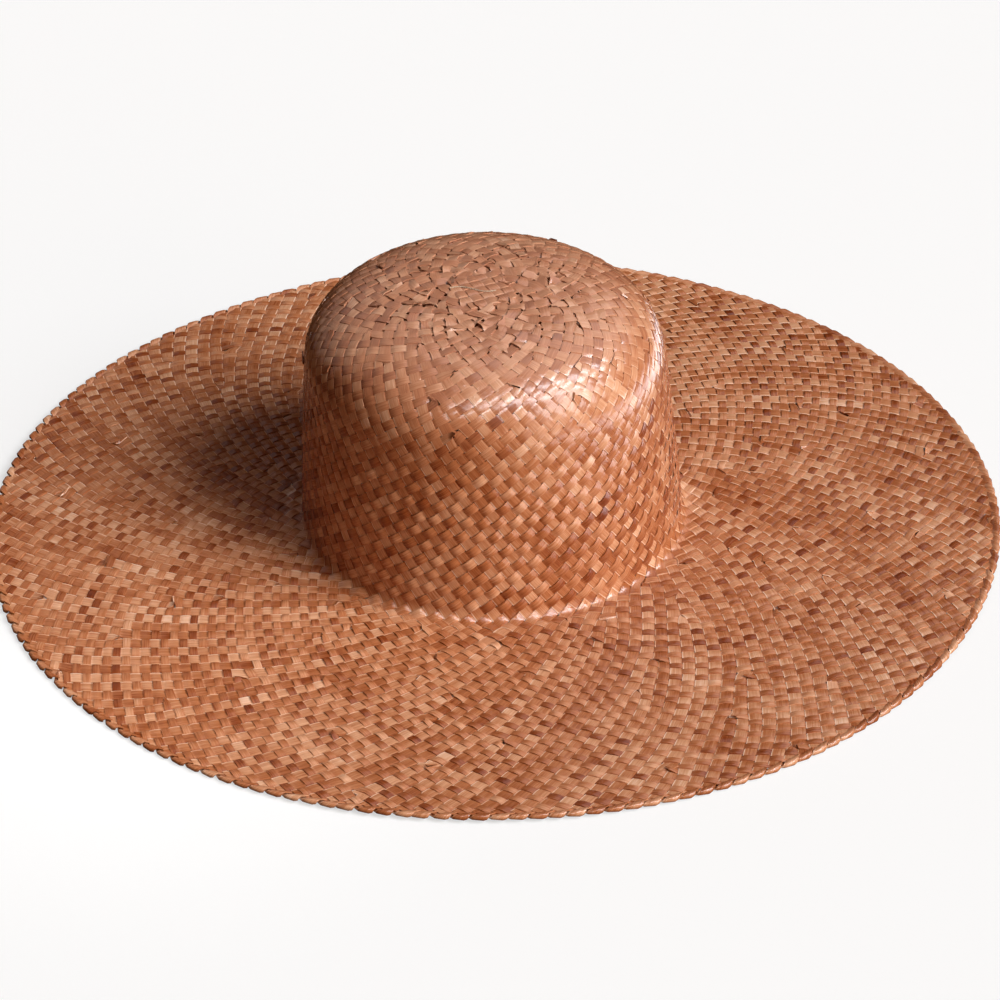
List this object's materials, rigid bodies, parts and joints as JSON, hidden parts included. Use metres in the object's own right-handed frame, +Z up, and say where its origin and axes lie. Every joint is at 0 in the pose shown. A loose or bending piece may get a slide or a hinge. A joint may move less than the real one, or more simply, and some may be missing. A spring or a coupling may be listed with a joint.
{
  "type": "sun hat",
  "caption": "Wide-brimmed straw sun hat plaited from glossy leaf strips, with a rounded crown, a turned-back rim and a ribbon sweatband.",
  "frame": {"origin": "centre of the brim's outline, on the surface that the rim rests on", "axes": "+Z up through the crown; -Y is the wearer's front; X runs across the head, the crown's shorter way"},
  "size_m": [0.4926, 0.4974, 0.1298],
  "materials": {
    "straw": "lacquered plaited leaf, satin gloss",
    "ribbon": "ribbed cotton ribbon, matt",
    "thread": "cotton thread, matt"
  },
  "bodies": {
    "root": {"crown": "straw", "brim": "straw", "brim_edge_fold": "straw", "tip_thread": "thread", "sweatband": "ribbon", "sweatband_tab": "ribbon", "sweatband_stitching": "thread", "sweatband_tab_tack": "thread"}
  },
  "joints": []
}
